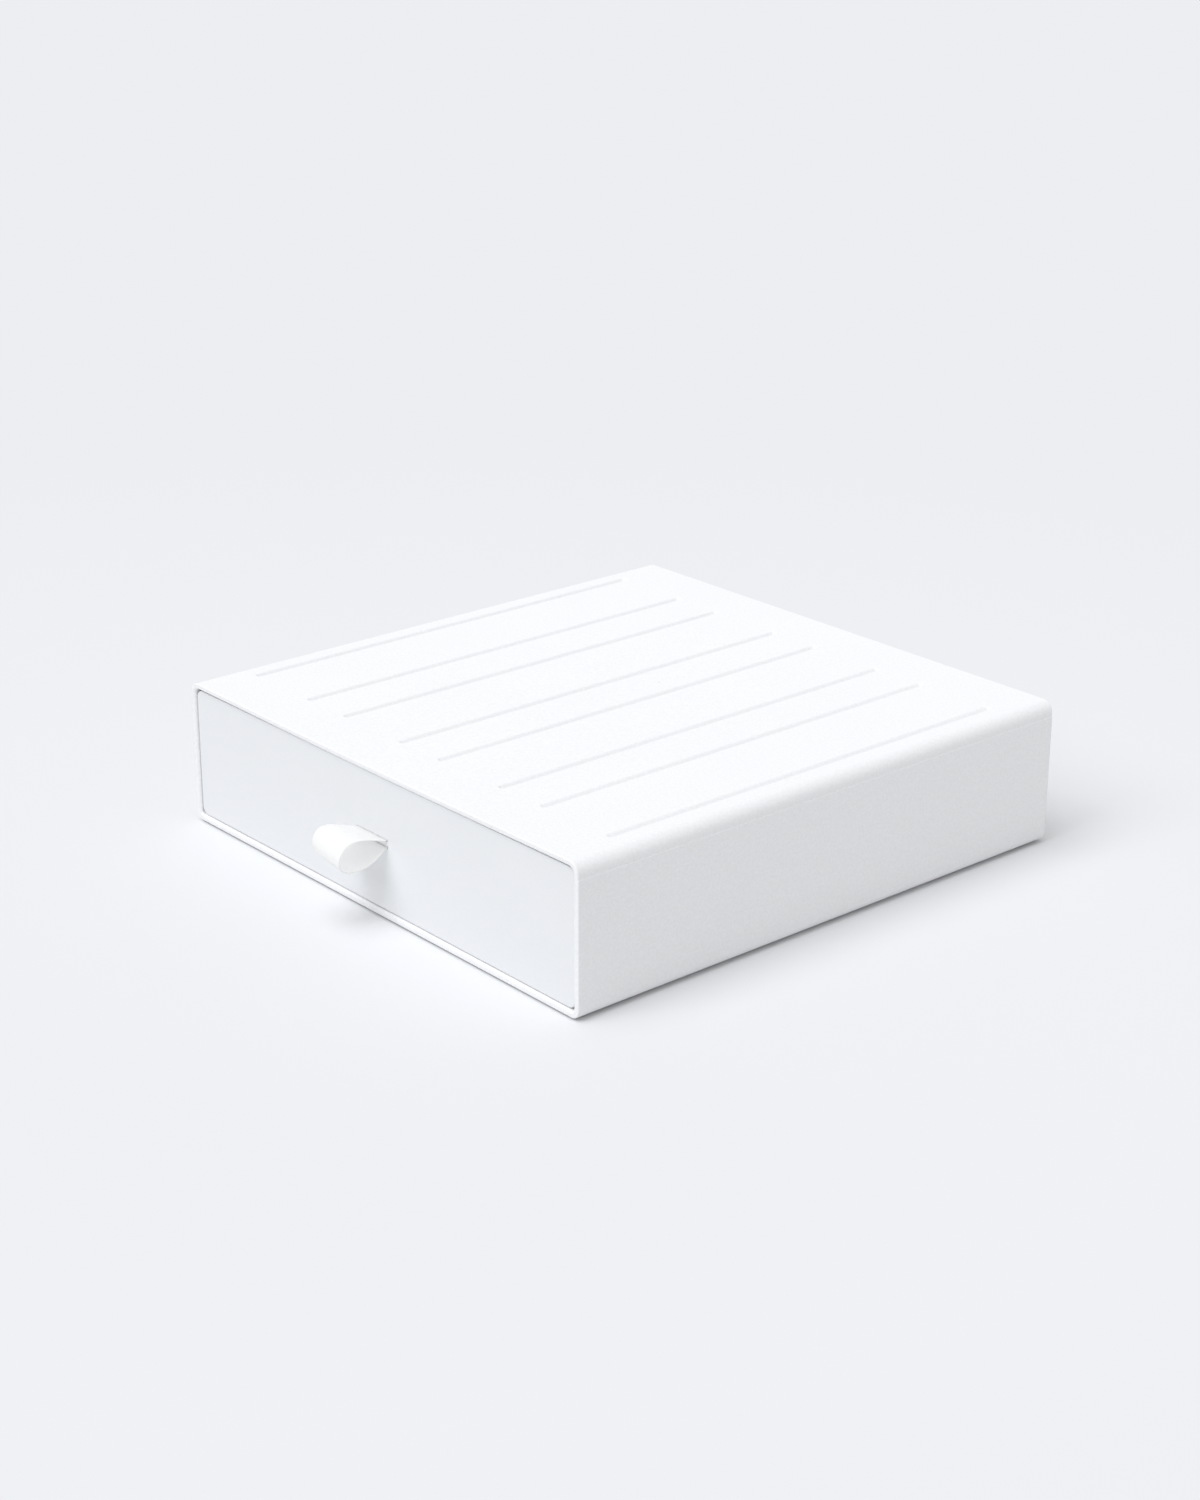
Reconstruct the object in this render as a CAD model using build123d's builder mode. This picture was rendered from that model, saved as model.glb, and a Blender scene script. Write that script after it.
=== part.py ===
"""Stackable drawer box with a ribbon pull tab.

A flat, square box for craft supplies and small parts. An outer case, open at the
front, holds one shallow drawer behind a flat front panel. The panel sits just
inside the mouth of the case, and a folded loop of ribbon in its middle pulls the
drawer out. Eight shallow grooves run across the top of the case, and eight low
ribs run under it in the same places. A box set on top drops its ribs into the
grooves, whether it is as wide as this one, half as wide or a quarter as wide.

Axes: +X to the right of a person who faces the front, +Y from front to back, +Z up.
Origin: the middle of the box's footprint, ribbon included, on the surface that the
ribs stand on. Every length is in millimetres.
"""

import math
import os

from build123d import *

# ---------------------------------------------------------------- driving sizes
CASE_WIDTH = 260.0
CASE_DEPTH = 265.0
STACK_RIB_HEIGHT = 0.8
CASE_HEIGHT = 64.2  # without the ribs: 65.0 over all, a quarter of the width
SIDE_WALL = 3.0
ROOF_WALL = 2.4
FLOOR_WALL = 2.8
CASE_TOP_RADIUS = 5.4
CASE_BOTTOM_RADIUS = 4.2
RIM_EDGE_RADIUS = 0.5  # outer edges of the front and back rims
MOUTH_RADIUS = 1.0  # inner edge of the front rim, which leads the drawer in

# The width is shared out in four cells, so that narrower boxes stack in rows.
CELL_COUNT = 4
GROOVE_INSET = 13.0  # from each side of a cell
GROOVE_LENGTH = 214.5  # the grooves and ribs are centred in the case's depth
GROOVE_WIDTH = 3.8
GROOVE_DEPTH = 1.15
STACK_RIB_LENGTH = 212.0
STACK_RIB_WIDTH = 2.6
STACK_RIB_CHAMFER = 0.4

BACK_PANEL_THICKNESS = 2.2
BACK_SEAT_LEDGE = 1.0  # how far the back panel's seat is cut into the walls
BACK_PANEL_GAP = 0.12
BACK_PANEL_EDGE_RADIUS = 0.3

FRONT_RECESS = 1.0  # front panel behind the case's front rim
FRONT_THICKNESS = 2.2
FRONT_SIDE_GAP = 0.3
FRONT_TOP_GAP = 0.9  # leaves room for the roof's sag
FRONT_BOTTOM_GAP = 0.3
FRONT_CORNER_RADIUS = 3.6
FRONT_EDGE_RADIUS = 0.5

TRAY_WALL = 1.8
TRAY_FLOOR = 1.8
TRAY_SIDE_GAP = 1.2
TRAY_TOP_GAP = 4.0  # case roof to tray rim
TRAY_BACK_GAP = 0.3  # the tray stops at the back panel when the drawer is shut
TRAY_LIFT = 1.1  # case floor to the underside of the tray
TRAY_CORNER_RADIUS = 5.0
TRAY_INNER_CORNER_RADIUS = 4.1
TRAY_BASE_RADIUS = 3.0
TRAY_INNER_BASE_RADIUS = 4.0
TRAY_RIM_RADIUS = 0.5

RUNNER_WIDTH = 4.0
RUNNER_CLEARANCE = 0.3
RUNNER_SPACING = 84.0
RUNNER_END_MARGIN = 14.0

# A pair of lugs on the tray's back wall meets a pair of catches under the roof.
STOP_SPACING = 150.0
STOP_LUG_WIDTH = 16.0
STOP_LUG_CLEARANCE = 0.7  # lug to case roof
CATCH_WIDTH = 22.0
CATCH_DROP = 2.0
CATCH_LENGTH = 4.0
CATCH_FROM_FRONT = 40.0
STOP_GAP = 0.3  # lug to catch when the drawer is fully out

RIBBON_WIDTH = 20.0
RIBBON_THICKNESS = 0.6
LOOP_CENTRE_REACH = 16.6  # front panel to the centre of the loop's round end
LOOP_INNER_RADIUS = 6.1
LOOP_SAG = 1.0  # the round end hangs this far below the middle of the slits
ARM_SPREAD = 2.9  # between the middles of the two layers where they leave the slits
RIBBON_TAIL = 5.0  # each end, folded flat behind the front
SLIT_WIDTH = 21.0
SLIT_HEIGHT = 1.0  # one slit for each layer, ARM_SPREAD apart
SLIT_RAISE = 0.75  # middle of the two slits above the front panel's middle

ANCHOR_WIDTH = 34.0
ANCHOR_HEIGHT = 18.0
ANCHOR_THICKNESS = 2.0
ANCHOR_POCKET_MARGIN = 0.5
ANCHOR_POCKET_DEPTH = 0.7
ANCHOR_CORNER_RADIUS = 2.0
ANCHOR_EDGE_RADIUS = 0.5
ANCHOR_PEG_SPACING = 27.0
ANCHOR_PEG_RADIUS = 1.5
ANCHOR_PEG_LENGTH = 3.0

FRONT_PEG_RADIUS = 2.0
FRONT_PEG_SPACING_X = 200.0
FRONT_PEG_SPACING_Z = 34.0
PEG_CLEARANCE = 0.05

# ---------------------------------------------------------------- worked-out places
RIBBON_REACH = LOOP_CENTRE_REACH + LOOP_INNER_RADIUS + RIBBON_THICKNESS
TAB_OVERHANG = RIBBON_REACH - FRONT_RECESS  # ribbon in front of the case
CASE_FRONT_Y = (TAB_OVERHANG - CASE_DEPTH) / 2
CASE_BACK_Y = CASE_FRONT_Y + CASE_DEPTH

CASE_UNDER_Z = STACK_RIB_HEIGHT
CASE_TOP_Z = CASE_UNDER_Z + CASE_HEIGHT
CAVITY_FLOOR_Z = CASE_UNDER_Z + FLOOR_WALL
CAVITY_ROOF_Z = CASE_TOP_Z - ROOF_WALL
CAVITY_WIDTH = CASE_WIDTH - 2 * SIDE_WALL
CAVITY_TOP_RADIUS = CASE_TOP_RADIUS - ROOF_WALL
CAVITY_BOTTOM_RADIUS = CASE_BOTTOM_RADIUS - FLOOR_WALL

CELL_WIDTH = CASE_WIDTH / CELL_COUNT
GROOVE_X = [
    -CASE_WIDTH / 2 + cell * CELL_WIDTH + inset
    for cell in range(CELL_COUNT)
    for inset in (GROOVE_INSET, CELL_WIDTH - GROOVE_INSET)
]
GROOVE_MID_Y = CASE_FRONT_Y + CASE_DEPTH / 2

FRONT_FACE_Y = CASE_FRONT_Y + FRONT_RECESS
FRONT_BACK_Y = FRONT_FACE_Y + FRONT_THICKNESS
FRONT_WIDTH = CAVITY_WIDTH - 2 * FRONT_SIDE_GAP
FRONT_BOTTOM_Z = CAVITY_FLOOR_Z + FRONT_BOTTOM_GAP
FRONT_TOP_Z = CAVITY_ROOF_Z - FRONT_TOP_GAP
FRONT_MID_Z = (FRONT_BOTTOM_Z + FRONT_TOP_Z) / 2
SLIT_Z = FRONT_MID_Z + SLIT_RAISE

TRAY_WIDTH = CAVITY_WIDTH - 2 * TRAY_SIDE_GAP
TRAY_FRONT_Y = FRONT_BACK_Y
TRAY_BACK_Y = CASE_BACK_Y - BACK_PANEL_THICKNESS - TRAY_BACK_GAP
TRAY_DEPTH = TRAY_BACK_Y - TRAY_FRONT_Y
TRAY_MID_Y = (TRAY_FRONT_Y + TRAY_BACK_Y) / 2
TRAY_UNDER_Z = CAVITY_FLOOR_Z + TRAY_LIFT
TRAY_FLOOR_Z = TRAY_UNDER_Z + TRAY_FLOOR
TRAY_RIM_Z = CAVITY_ROOF_Z - TRAY_TOP_GAP
TRAY_INNER_FRONT_Y = TRAY_FRONT_Y + TRAY_WALL

CATCH_FRONT_Y = CASE_FRONT_Y + CATCH_FROM_FRONT
CATCH_BACK_Y = CATCH_FRONT_Y + CATCH_LENGTH
DRAWER_TRAVEL = TRAY_BACK_Y - TRAY_WALL - CATCH_BACK_Y - STOP_GAP

PROFILE_OVERRUN = 1.0  # cutters start and end this far outside the solid


def depth_plane(y: float) -> Plane:
    """Return an upright plane at depth y, whose sketch axes are X and Z, facing -Y."""
    return Plane.XZ.offset(-y)


def rounded_profile(
    width: float, low_z: float, high_z: float, low_radius: float, high_radius: float
) -> None:
    """Draw an upright rectangle with its own corner radius below and above."""
    with Locations((0, (low_z + high_z) / 2)):
        Rectangle(width, high_z - low_z)
    fillet(vertices().group_by(Axis.Y)[0], low_radius)
    fillet(vertices().group_by(Axis.Y)[-1], high_radius)


def save(name: str, solid_part: Part) -> None:
    """Label a finished piece, write it and report its volume."""
    solid_part.label = name
    export_step(solid_part, f"parts/{name}.step")
    print(f"{name}: {len(solid_part.solids())} solid, {solid_part.volume / 1000:.1f} cm3")


os.makedirs("parts", exist_ok=True)

# ---------------------------------------------------------------- case sleeve
# The groove is the arc of a round-nosed cutter, so its ends are round too.
groove_nose_radius = ((GROOVE_WIDTH / 2) ** 2 + GROOVE_DEPTH**2) / (2 * GROOVE_DEPTH)
groove_nose_z = CASE_TOP_Z - GROOVE_DEPTH + groove_nose_radius
groove_straight = GROOVE_LENGTH - GROOVE_WIDTH

with BuildPart() as case_sleeve:
    with BuildSketch(depth_plane(CASE_BACK_Y)):
        rounded_profile(
            CASE_WIDTH, CASE_UNDER_Z, CASE_TOP_Z, CASE_BOTTOM_RADIUS, CASE_TOP_RADIUS
        )
    extrude(amount=CASE_DEPTH)
    rim_edges = edges().group_by(Axis.Y)
    fillet(rim_edges[0] + rim_edges[-1], RIM_EDGE_RADIUS)

    # the cavity runs right through, and the back panel closes it
    with BuildSketch(depth_plane(CASE_BACK_Y + PROFILE_OVERRUN)):
        rounded_profile(
            CAVITY_WIDTH,
            CAVITY_FLOOR_Z,
            CAVITY_ROOF_Z,
            CAVITY_BOTTOM_RADIUS,
            CAVITY_TOP_RADIUS,
        )
    extrude(amount=CASE_DEPTH + 2 * PROFILE_OVERRUN, mode=Mode.SUBTRACT)

    # lead-in round the mouth
    front_faces = faces().filter_by(Axis.Y).sort_by(Axis.Y)[0]
    fillet(front_faces.inner_wires()[0].edges(), MOUTH_RADIUS)

    # seat for the back panel
    with BuildSketch(depth_plane(CASE_BACK_Y + PROFILE_OVERRUN)):
        rounded_profile(
            CAVITY_WIDTH + 2 * BACK_SEAT_LEDGE,
            CAVITY_FLOOR_Z - BACK_SEAT_LEDGE,
            CAVITY_ROOF_Z + BACK_SEAT_LEDGE,
            CAVITY_BOTTOM_RADIUS + BACK_SEAT_LEDGE,
            CAVITY_TOP_RADIUS + BACK_SEAT_LEDGE,
        )
    extrude(amount=BACK_PANEL_THICKNESS + PROFILE_OVERRUN, mode=Mode.SUBTRACT)

    # stacking grooves in the top
    with Locations([(x, GROOVE_MID_Y, groove_nose_z) for x in GROOVE_X]):
        Cylinder(
            groove_nose_radius, groove_straight, rotation=(90, 0, 0), mode=Mode.SUBTRACT
        )
        with Locations((0, -groove_straight / 2, 0), (0, groove_straight / 2, 0)):
            Sphere(groove_nose_radius, mode=Mode.SUBTRACT)

    # stacking ribs underneath, in line with the grooves
    with BuildSketch(Plane.XY.offset(CASE_UNDER_Z)):
        with Locations([(x, GROOVE_MID_Y) for x in GROOVE_X]):
            SlotOverall(STACK_RIB_LENGTH, STACK_RIB_WIDTH, rotation=90)
    extrude(amount=-STACK_RIB_HEIGHT)
    chamfer(edges().group_by(Axis.Z)[0], STACK_RIB_CHAMFER)

    # stop catches under the roof
    with Locations(
        [
            (side * STOP_SPACING / 2, CATCH_FRONT_Y + CATCH_LENGTH / 2, CAVITY_ROOF_Z)
            for side in (-1, 1)
        ]
    ):
        Box(CATCH_WIDTH, CATCH_LENGTH, 2 * CATCH_DROP)

# ---------------------------------------------------------------- back panel
with BuildPart() as back_panel:
    with BuildSketch(depth_plane(CASE_BACK_Y)):
        rounded_profile(
            CAVITY_WIDTH + 2 * (BACK_SEAT_LEDGE - BACK_PANEL_GAP),
            CAVITY_FLOOR_Z - BACK_SEAT_LEDGE + BACK_PANEL_GAP,
            CAVITY_ROOF_Z + BACK_SEAT_LEDGE - BACK_PANEL_GAP,
            CAVITY_BOTTOM_RADIUS + BACK_SEAT_LEDGE - BACK_PANEL_GAP,
            CAVITY_TOP_RADIUS + BACK_SEAT_LEDGE - BACK_PANEL_GAP,
        )
    extrude(amount=BACK_PANEL_THICKNESS)
    fillet(edges().group_by(Axis.Y)[-1], BACK_PANEL_EDGE_RADIUS)

# ---------------------------------------------------------------- drawer tray
with BuildPart() as drawer_tray:
    with BuildSketch(Plane.XY.offset(TRAY_UNDER_Z)):
        with Locations((0, TRAY_MID_Y)):
            RectangleRounded(TRAY_WIDTH, TRAY_DEPTH, TRAY_CORNER_RADIUS)
    extrude(amount=TRAY_RIM_Z - TRAY_UNDER_Z)
    fillet(edges().group_by(Axis.Z)[0], TRAY_BASE_RADIUS)

    # the inside
    with BuildSketch(Plane.XY.offset(TRAY_RIM_Z)):
        with Locations((0, TRAY_MID_Y)):
            RectangleRounded(
                TRAY_WIDTH - 2 * TRAY_WALL,
                TRAY_DEPTH - 2 * TRAY_WALL,
                TRAY_INNER_CORNER_RADIUS,
            )
    extrude(amount=TRAY_FLOOR_Z - TRAY_RIM_Z, mode=Mode.SUBTRACT)
    tray_floor_face = faces().filter_by(Axis.Z).filter_by_position(
        Axis.Z, TRAY_FLOOR_Z - TRAY_FLOOR / 2, TRAY_FLOOR_Z + TRAY_FLOOR / 2
    )[0]
    fillet(tray_floor_face.edges(), TRAY_INNER_BASE_RADIUS)
    fillet(edges().group_by(Axis.Z)[-1], TRAY_RIM_RADIUS)

    # runners that slide on the case floor
    runner_length = TRAY_DEPTH - 2 * RUNNER_END_MARGIN
    with BuildSketch(Plane.XY.offset(TRAY_UNDER_Z)):
        with Locations((0, TRAY_MID_Y)):
            with GridLocations(RUNNER_SPACING, 0, 3, 1):
                SlotOverall(runner_length, RUNNER_WIDTH, rotation=90)
    extrude(amount=RUNNER_CLEARANCE - TRAY_LIFT)

    # stop lugs on the back wall
    lug_low_z = TRAY_RIM_Z - TRAY_TOP_GAP
    lug_high_z = CAVITY_ROOF_Z - STOP_LUG_CLEARANCE
    with Locations(
        [
            (side * STOP_SPACING / 2, TRAY_BACK_Y - TRAY_WALL / 2, (lug_low_z + lug_high_z) / 2)
            for side in (-1, 1)
        ]
    ):
        Box(STOP_LUG_WIDTH, TRAY_WALL, lug_high_z - lug_low_z)

    # slits for the ribbon, and holes for the pegs of the front panel and the anchor
    with BuildSketch(depth_plane(TRAY_INNER_FRONT_Y)):
        with Locations((0, FRONT_MID_Z)):
            with GridLocations(FRONT_PEG_SPACING_X, FRONT_PEG_SPACING_Z, 2, 2):
                Circle(FRONT_PEG_RADIUS + PEG_CLEARANCE)
        with Locations((0, SLIT_Z)):
            with GridLocations(0, ARM_SPREAD, 1, 2):
                Rectangle(SLIT_WIDTH, SLIT_HEIGHT)
            with GridLocations(ANCHOR_PEG_SPACING, 0, 2, 1):
                Circle(ANCHOR_PEG_RADIUS + PEG_CLEARANCE)
    extrude(amount=TRAY_WALL, mode=Mode.SUBTRACT)

# ---------------------------------------------------------------- drawer front panel
with BuildPart() as drawer_front:
    with BuildSketch(depth_plane(FRONT_BACK_Y)):
        rounded_profile(
            FRONT_WIDTH,
            FRONT_BOTTOM_Z,
            FRONT_TOP_Z,
            FRONT_CORNER_RADIUS,
            FRONT_CORNER_RADIUS,
        )
    extrude(amount=FRONT_THICKNESS)
    fillet(edges().group_by(Axis.Y)[0], FRONT_EDGE_RADIUS)
    with BuildSketch(depth_plane(FRONT_BACK_Y)):
        with Locations((0, FRONT_MID_Z)):
            with GridLocations(FRONT_PEG_SPACING_X, FRONT_PEG_SPACING_Z, 2, 2):
                Circle(FRONT_PEG_RADIUS)
    extrude(amount=-TRAY_WALL)

    # slits for the ribbon, and blind sockets for the anchor's pegs
    with BuildSketch(depth_plane(FRONT_BACK_Y)):
        with Locations((0, SLIT_Z)):
            with GridLocations(0, ARM_SPREAD, 1, 2):
                Rectangle(SLIT_WIDTH, SLIT_HEIGHT)
    extrude(amount=FRONT_THICKNESS, mode=Mode.SUBTRACT)
    with BuildSketch(depth_plane(FRONT_BACK_Y)):
        with Locations((0, SLIT_Z)):
            with GridLocations(ANCHOR_PEG_SPACING, 0, 2, 1):
                Circle(ANCHOR_PEG_RADIUS + PEG_CLEARANCE)
    extrude(amount=ANCHOR_PEG_LENGTH - TRAY_WALL + PEG_CLEARANCE, mode=Mode.SUBTRACT)

# ---------------------------------------------------------------- ribbon anchor
with BuildPart() as ribbon_anchor:
    with BuildSketch(depth_plane(TRAY_INNER_FRONT_Y + ANCHOR_THICKNESS)):
        with Locations((0, SLIT_Z)):
            RectangleRounded(ANCHOR_WIDTH, ANCHOR_HEIGHT, ANCHOR_CORNER_RADIUS)
    extrude(amount=ANCHOR_THICKNESS)
    fillet(edges().group_by(Axis.Y)[-1], ANCHOR_EDGE_RADIUS)

    # pocket that grips the two folded ends against the tray's front wall
    pocket_height = ARM_SPREAD + SLIT_HEIGHT + 2 * (RIBBON_TAIL + ANCHOR_POCKET_MARGIN)
    with BuildSketch(depth_plane(TRAY_INNER_FRONT_Y + ANCHOR_POCKET_DEPTH)):
        with Locations((0, SLIT_Z)):
            Rectangle(SLIT_WIDTH, pocket_height)
    extrude(amount=ANCHOR_POCKET_DEPTH, mode=Mode.SUBTRACT)

    with BuildSketch(depth_plane(TRAY_INNER_FRONT_Y)):
        with Locations((0, SLIT_Z)):
            with GridLocations(ANCHOR_PEG_SPACING, 0, 2, 1):
                Circle(ANCHOR_PEG_RADIUS)
    extrude(amount=ANCHOR_PEG_LENGTH)

# ---------------------------------------------------------------- pull ribbon
# Seen from the side the loop is a sagging teardrop: two long arcs spread from the
# slits and meet a round end. Each arc is level where it meets the round end. In the
# sketch, x is the distance in front of the panel and y the height above the slits'
# middle.
MIDDLE_RADIUS = LOOP_INNER_RADIUS + RIBBON_THICKNESS / 2
HALF_THICKNESS = RIBBON_THICKNESS / 2


def arm_radius(side: int) -> float:
    """Return the radius of one arm's arc, at mid-thickness; side is 1 above, -1 below."""
    rise = MIDDLE_RADIUS - side * LOOP_SAG - ARM_SPREAD / 2
    return (LOOP_CENTRE_REACH**2 + rise**2) / (2 * rise)


def arm_point(side: int, reach: float, offset: float) -> tuple[float, float]:
    """Return the point of an arm at a reach, offset outwards from mid-thickness."""
    run = LOOP_CENTRE_REACH - reach
    inward = arm_radius(side) - math.sqrt((arm_radius(side) + offset) ** 2 - run**2)
    return reach, side * (MIDDLE_RADIUS - inward) - LOOP_SAG


def loop_face(offset: float) -> tuple[float, float]:
    """Draw one face of the loop, offset outwards, and return its heights at the slits."""
    near = {side: arm_point(side, 0, offset) for side in (1, -1)}
    middle = {side: arm_point(side, LOOP_CENTRE_REACH / 2, offset) for side in (1, -1)}
    far = {side: arm_point(side, LOOP_CENTRE_REACH, offset) for side in (1, -1)}
    tip = (LOOP_CENTRE_REACH + MIDDLE_RADIUS + offset, -LOOP_SAG)
    ThreePointArc(near[1], middle[1], far[1])
    ThreePointArc(far[1], tip, far[-1])
    ThreePointArc(far[-1], middle[-1], near[-1])
    return near[1][1], near[-1][1]


ribbon_plane = Plane(
    origin=(RIBBON_WIDTH / 2, FRONT_FACE_Y, SLIT_Z), x_dir=(0, -1, 0), z_dir=(-1, 0, 0)
)
wall_x = -(FRONT_THICKNESS + TRAY_WALL)  # inner face of the tray's front wall
tail_x = wall_x - RIBBON_THICKNESS

with BuildPart() as pull_ribbon:
    with BuildSketch(ribbon_plane):
        with BuildLine():
            outer_top, outer_low = loop_face(HALF_THICKNESS)
            inner_top, inner_low = loop_face(-HALF_THICKNESS)
            tail_top = outer_top + RIBBON_TAIL
            tail_low = outer_low - RIBBON_TAIL
            Polyline(
                (0, outer_top),
                (wall_x, outer_top),
                (wall_x, tail_top),
                (tail_x, tail_top),
                (tail_x, inner_top),
                (0, inner_top),
            )
            Polyline(
                (0, outer_low),
                (wall_x, outer_low),
                (wall_x, tail_low),
                (tail_x, tail_low),
                (tail_x, inner_low),
                (0, inner_low),
            )
        make_face()
    extrude(amount=RIBBON_WIDTH)

# ---------------------------------------------------------------- output
arm_lengths = sum(
    arm_radius(side) * math.asin(LOOP_CENTRE_REACH / arm_radius(side)) for side in (1, -1)
)
ribbon_length = arm_lengths + math.pi * MIDDLE_RADIUS + 2 * (RIBBON_TAIL - wall_x)

save("case_sleeve", case_sleeve.part)
save("back_panel", back_panel.part)
save("drawer_tray", drawer_tray.part)
save("drawer_front", drawer_front.part)
save("ribbon_anchor", ribbon_anchor.part)
save("pull_ribbon", pull_ribbon.part)
print(f"drawer travel: {DRAWER_TRAVEL:.2f} mm")
print(f"ribbon cut length: {ribbon_length:.1f} mm, front plane at y {CASE_FRONT_Y:.2f} mm")
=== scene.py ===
"""Looks of a stackable drawer box with a ribbon pull tab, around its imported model.

The case's sleeve is modelled here as one shell, with soft-edged stacking grooves and a
roof that sags a little, and its ribs and stop catches beside it. The ribbon is a woven
loop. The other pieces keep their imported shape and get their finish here. Lengths are in
metres and angles in degrees. +X is to the right of a person who faces the drawer, +Y runs
from front to back and +Z is up.
"""

import logging
import math
from dataclasses import dataclass
from enum import Enum

import bpy
import numpy as np
from mathutils import Matrix, Vector


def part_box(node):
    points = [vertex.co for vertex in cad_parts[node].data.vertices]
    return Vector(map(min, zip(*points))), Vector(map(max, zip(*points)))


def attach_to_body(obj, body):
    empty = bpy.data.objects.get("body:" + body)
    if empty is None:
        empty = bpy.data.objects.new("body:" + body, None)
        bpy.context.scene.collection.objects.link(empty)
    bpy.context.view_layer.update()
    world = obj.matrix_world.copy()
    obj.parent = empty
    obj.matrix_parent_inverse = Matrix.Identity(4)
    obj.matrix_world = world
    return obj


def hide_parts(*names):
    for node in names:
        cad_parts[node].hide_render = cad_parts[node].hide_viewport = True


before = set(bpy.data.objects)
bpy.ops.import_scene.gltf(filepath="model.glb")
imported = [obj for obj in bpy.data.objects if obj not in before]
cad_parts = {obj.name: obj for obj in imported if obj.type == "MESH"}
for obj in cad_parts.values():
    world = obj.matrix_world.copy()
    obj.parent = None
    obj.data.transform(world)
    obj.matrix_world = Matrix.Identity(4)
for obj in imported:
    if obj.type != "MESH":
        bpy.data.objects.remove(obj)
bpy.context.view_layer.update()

LOG = logging.getLogger("drawer_box")

Colour = tuple[float, float, float]
Place = tuple[float, float, float]
Socket = bpy.types.NodeSocket
Value = Socket | float | int | tuple


class Body(Enum):
    """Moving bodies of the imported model."""

    CASE = "case"
    DRAWER = "drawer"


class Slot(Enum):
    """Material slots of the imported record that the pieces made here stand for."""

    CASE = "case_plastic"
    RIBBON = "ribbon_weave"


# ---------------------------------------------------------------- node trees


class Wiring:
    """Adds nodes to a shader or geometry tree and joins them."""

    # Most of a noise pattern's values lie between these two.
    NOISE_DARK = 0.3
    NOISE_LIGHT = 0.7

    def __init__(self, tree: bpy.types.NodeTree) -> None:
        """Start with the tree's nodes cleared."""
        self.tree = tree
        tree.nodes.clear()

    def node(
        self, kind: str, inputs: dict[str | int, Value] | None = None, **settings: object
    ) -> bpy.types.Node:
        """Add a node.

        Args:
            kind: the node's type.
            inputs: input name or number to a value, or to the output that feeds it.
            settings: the node's own properties.

        Returns:
            The new node.
        """
        made = self.tree.nodes.new(kind)
        for key, value in settings.items():
            setattr(made, key, value)
        for key, value in (inputs or {}).items():
            if isinstance(value, Socket):
                self.tree.links.new(value, made.inputs[key])
            else:
                made.inputs[key].default_value = value
        return made

    def maths(self, operation: str, *values: Value) -> Socket:
        """Add a Math node.

        Args:
            operation: the Math node's operation.
            values: its inputs, in order.

        Returns:
            Its output.
        """
        return self.node("ShaderNodeMath", dict(enumerate(values)), operation=operation).outputs[0]

    def noise(self, where: Socket, pitch: float, detail: float) -> Socket:
        """Add a noise pattern.

        Args:
            where: the coordinates that it reads.
            pitch: the size of its largest features.
            detail: how many finer octaves it has.

        Returns:
            Its value, from about 0 to 1.
        """
        pattern = self.node(
            "ShaderNodeTexNoise", {"Vector": where, "Scale": 1 / pitch, "Detail": detail}
        )
        return pattern.outputs[0]

    def spread(self, value: Socket, low: float, high: float) -> Socket:
        """Map the middle of a noise pattern onto a range.

        Args:
            value: the pattern.
            low: result where the pattern is at its dark end.
            high: result where it is at its light end.

        Returns:
            The mapped value, clamped.
        """
        return self.ramp(value, (self.NOISE_DARK, self.NOISE_LIGHT), (low, high))

    def ramp(
        self, value: Socket, given: tuple[float, float], wanted: tuple[float, float]
    ) -> Socket:
        """Map one range of a value onto another.

        Args:
            value: the value.
            given: the start and the end of its range.
            wanted: what the start and the end become.

        Returns:
            The mapped value, clamped.
        """
        inputs = {"Value": value, "From Min": given[0], "From Max": given[1]}
        inputs |= {"To Min": wanted[0], "To Max": wanted[1]}
        return self.node("ShaderNodeMapRange", inputs).outputs[0]

    def distance(self, where: Socket, place: Place) -> Socket:
        """Measure how far coordinates are from a place."""
        apart = self.node("ShaderNodeVectorMath", {0: where, 1: place}, operation="DISTANCE")
        return apart.outputs["Value"]

    def tint(self, colour: Colour, factor: Socket) -> Socket:
        """Multiply a colour by a factor.

        Args:
            colour: the colour.
            factor: what its three channels are multiplied by.

        Returns:
            The colour's output.
        """
        scaled = self.node("ShaderNodeVectorMath", {0: colour, "Scale": factor}, operation="SCALE")
        return scaled.outputs[0]


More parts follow.
